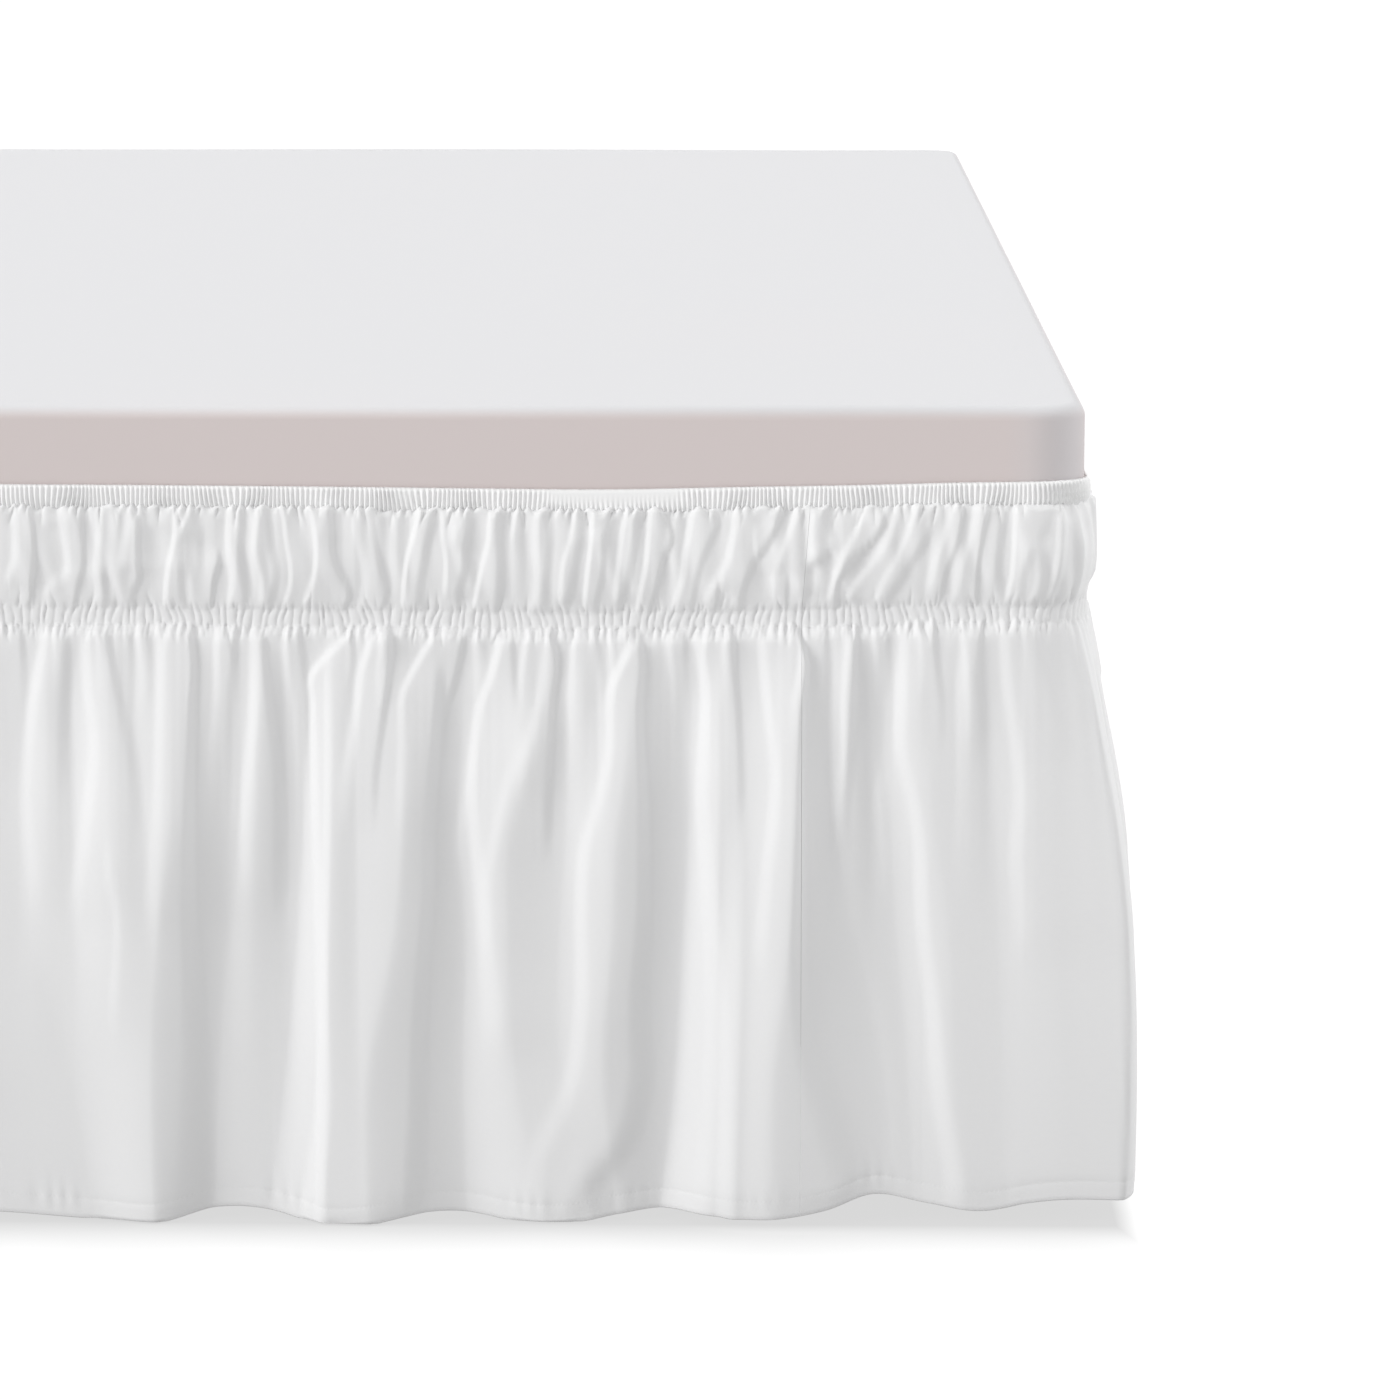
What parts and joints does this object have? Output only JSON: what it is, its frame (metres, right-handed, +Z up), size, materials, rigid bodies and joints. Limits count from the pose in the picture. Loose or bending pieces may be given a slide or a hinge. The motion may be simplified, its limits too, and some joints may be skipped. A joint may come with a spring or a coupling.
{
  "type": "gathered bed skirt on a bed with its mattress",
  "caption": "White gathered bed skirt: cloth panels on a ribbed elastic top, a shirred waist and loose folds to the floor, round a plain bed with its mattress.",
  "frame": {"origin": "on the floor under the middle of the bed", "axes": "+Z up, the foot of the bed towards -Y, its head towards +Y"},
  "size_m": [1.6226, 2.1323, 0.4535],
  "materials": {
    "skirt_cloth": "white brushed microfibre with a soft sheen",
    "elastic": "white ribbed elastic casing",
    "mattress_cover": "smooth pale cotton",
    "base_cloth": "plain woven cover",
    "leg_wood": "oiled, satin"
  },
  "bodies": {
    "root": {"skirt_foot": "skirt_cloth", "skirt_right": "skirt_cloth", "skirt_head": "skirt_cloth", "skirt_left": "skirt_cloth", "top_elastic": "elastic", "mattress": "mattress_cover", "bed_base": "base_cloth", "leg_left_foot": "leg_wood", "leg_left_middle": "leg_wood", "leg_left_head": "leg_wood", "leg_right_foot": "leg_wood", "leg_right_middle": "leg_wood", "leg_right_head": "leg_wood"}
  },
  "joints": []
}
